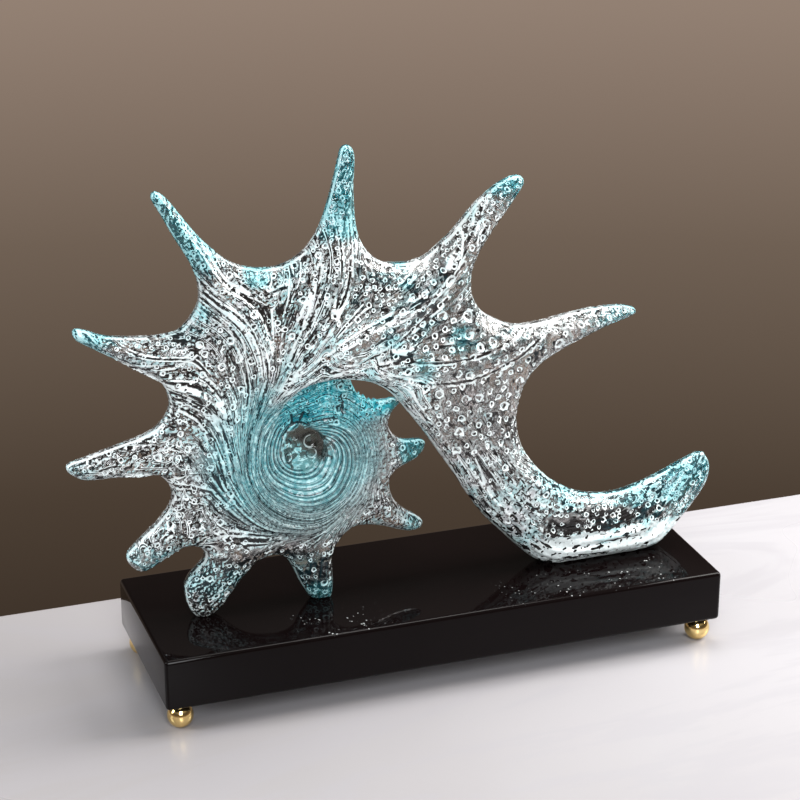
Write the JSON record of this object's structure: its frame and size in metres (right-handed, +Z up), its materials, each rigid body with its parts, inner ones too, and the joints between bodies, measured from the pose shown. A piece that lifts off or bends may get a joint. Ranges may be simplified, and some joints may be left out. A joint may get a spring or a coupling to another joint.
{
  "type": "spiral ornament on a plinth",
  "caption": "Clear cast spiral with curved tapering spikes and a crescent foot, standing on a black gloss block with brass ball feet.",
  "frame": {"origin": "on the surface that the ornament stands on, under the middle of the whole object", "axes": "+Z up, +X along the block towards the crescent foot, front faces -Y"},
  "size_m": [0.4164, 0.118, 0.333],
  "materials": {
    "clear_casting": "clear casting full of small bubbles and white flecks, with turquoise in the spike tips and round the eye",
    "black_gloss": "black high-gloss lacquer",
    "polished_brass": "mirror polished",
    "insert_brass": "machined",
    "steel": "plain machined"
  },
  "bodies": {
    "root": {"spiral_casting": "clear_casting", "base_block": "black_gloss", "ball_foot_front_left": "polished_brass", "foot_stud_front_left": "steel", "foot_insert_front_left": "insert_brass", "ball_foot_front_right": "polished_brass", "foot_stud_front_right": "steel", "foot_insert_front_right": "insert_brass", "ball_foot_back_left": "polished_brass", "foot_stud_back_left": "steel", "foot_insert_back_left": "insert_brass", "ball_foot_back_right": "polished_brass", "foot_stud_back_right": "steel", "foot_insert_back_right": "insert_brass", "screw_washer_left": "steel", "casting_screw_left": "steel", "casting_insert_left": "insert_brass", "dowel_pin_left": "steel", "screw_washer_right": "steel", "casting_screw_right": "steel", "casting_insert_right": "insert_brass", "dowel_pin_right": "steel"}
  },
  "joints": []
}
